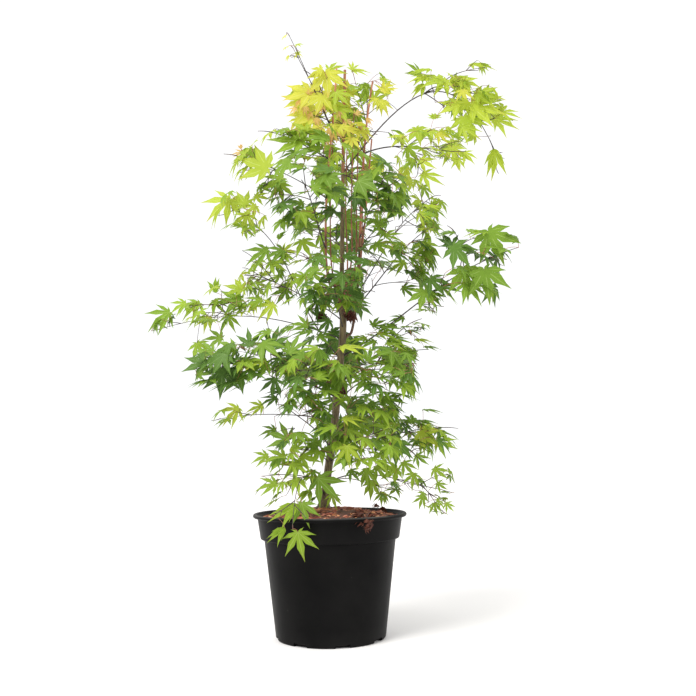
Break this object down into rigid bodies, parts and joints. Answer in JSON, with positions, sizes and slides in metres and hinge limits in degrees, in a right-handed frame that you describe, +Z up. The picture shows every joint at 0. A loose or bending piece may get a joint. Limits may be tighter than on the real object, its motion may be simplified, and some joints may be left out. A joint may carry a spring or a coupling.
{
  "type": "potted coral-bark japanese maple",
  "caption": "Young ornamental maple in a round black nursery pot: slim leaning trunk, upright coral stems and tiers of lobed green leaves turning gold at the top.",
  "frame": {"origin": "centre of the pot's flat underside", "axes": "+Z up along the trunk, +X to the picture's right, +Y away from the camera"},
  "size_m": [0.713, 0.4304, 1.1337],
  "materials": {
    "pot": "satin black, moulded",
    "mulch": "rough bark chips",
    "bark": "olive-brown bark",
    "coral_bark": "smooth coral bark",
    "leaf_gold": "thin yellow leaves",
    "leaf_lime": "thin lime leaves",
    "leaf_fresh": "thin fresh green leaves",
    "leaf_mid": "green leaves",
    "leaf_deep": "dark green leaves"
  },
  "bodies": {
    "root": {"pot": "pot", "soil": "mulch", "trunk": "bark", "left_stem": "coral_bark", "right_stem": "coral_bark", "back_stem": "coral_bark", "bough_leader_tip": "coral_bark", "bough_arch_fall": "coral_bark", "bough_upper_right": "coral_bark", "bough_outer_left": "coral_bark", "bough_mid_left": "coral_bark", "bough_mid_right": "coral_bark", "bough_far_right": "coral_bark", "bough_shoot_left": "coral_bark", "bough_far_left": "coral_bark", "bough_big_left": "coral_bark", "bough_right_tier": "coral_bark", "bough_bare_left": "coral_bark", "bough_right_low": "coral_bark", "bough_right_foot": "coral_bark", "bough_rim_spray": "coral_bark", "foliage_gold_crown": "leaf_gold", "foliage_leader_tip": "leaf_gold", "foliage_middle_crown": "leaf_lime", "foliage_arch_fall": "leaf_lime", "foliage_arch_top": "leaf_lime", "foliage_upper_right": "leaf_lime", "foliage_upper_left": "leaf_fresh", "foliage_outer_left": "leaf_fresh", "foliage_mid_left": "leaf_lime", "foliage_dark_left": "leaf_deep", "foliage_dark_right": "leaf_deep", "foliage_mid_right": "leaf_fresh", "foliage_far_right": "leaf_deep", "foliage_inner_right": "leaf_mid", "foliage_shoot_left": "leaf_fresh", "foliage_far_left": "leaf_fresh", "foliage_low_left": "leaf_lime", "foliage_big_left": "leaf_deep", "foliage_centre": "leaf_deep", "foliage_front_left": "leaf_mid", "foliage_front_right": "leaf_mid", "foliage_right_tier": "leaf_mid", "foliage_bare_left": "leaf_lime", "foliage_low_front_left": "leaf_fresh", "foliage_low_front_right": "leaf_mid", "foliage_right_low": "leaf_mid", "foliage_right_foot": "leaf_fresh", "foliage_left_foot": "leaf_fresh", "foliage_rim_spray": "leaf_lime", "foliage_back_top": "leaf_fresh", "foliage_back_upper": "leaf_mid", "foliage_back_middle": "leaf_mid", "foliage_back_low": "leaf_deep", "foliage_back_foot": "leaf_mid"}
  },
  "joints": []
}
